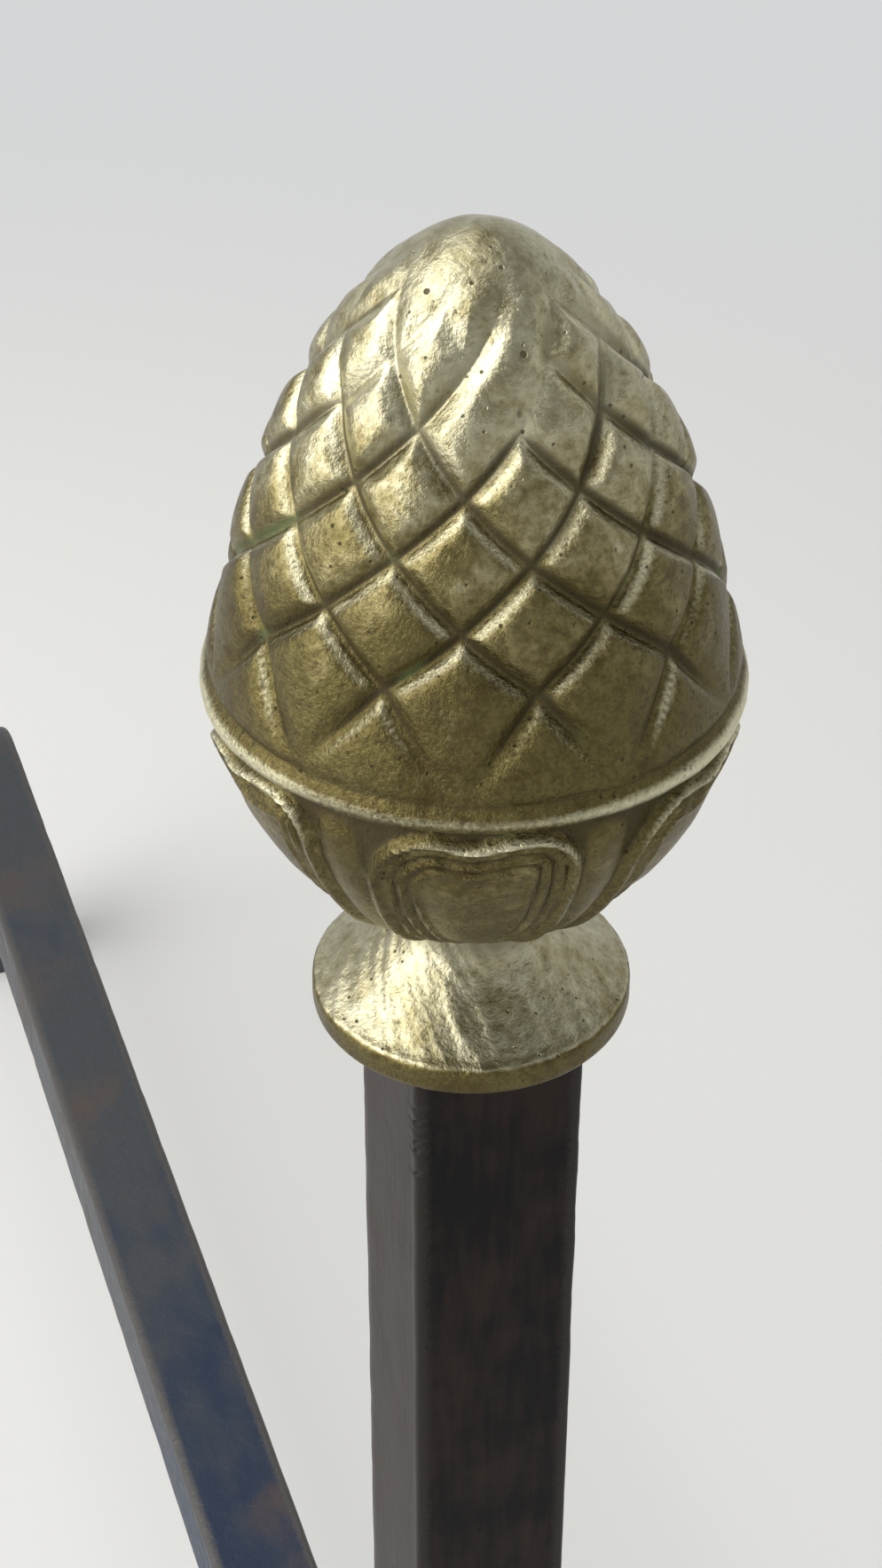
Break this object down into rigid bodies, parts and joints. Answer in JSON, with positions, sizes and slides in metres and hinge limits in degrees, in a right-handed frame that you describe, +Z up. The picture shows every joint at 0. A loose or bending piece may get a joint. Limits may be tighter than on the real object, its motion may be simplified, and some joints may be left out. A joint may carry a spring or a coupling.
{
  "type": "andiron",
  "caption": "Fireside andiron: square iron post with a scaled egg finial of cast brass, arched front legs with round feet and a log bar bent down into a rear leg.",
  "frame": {"origin": "on the floor, under the middle of the whole andiron; the post's axis is 200.9 mm in front of it", "axes": "+Z up, +Y from the post back along the log bar, +X to the right of someone who faces the fire"},
  "size_m": [0.268, 0.4552, 0.4117],
  "materials": {
    "cast_brass": "aged satin, greenish in the grooves and bright on the worn edges",
    "forged_iron": "dark brown-black forge finish, worn grey on the arrises",
    "scaled_iron": "blue-grey fire scale with brown patches",
    "plain_steel": "plain, dulled by heat"
  },
  "bodies": {
    "root": {"finial": "cast_brass", "finial_stud": "plain_steel", "post": "forged_iron", "front_arch": "forged_iron", "log_bar": "scaled_iron", "shank_washer": "plain_steel", "shank_nut": "plain_steel"}
  },
  "joints": []
}
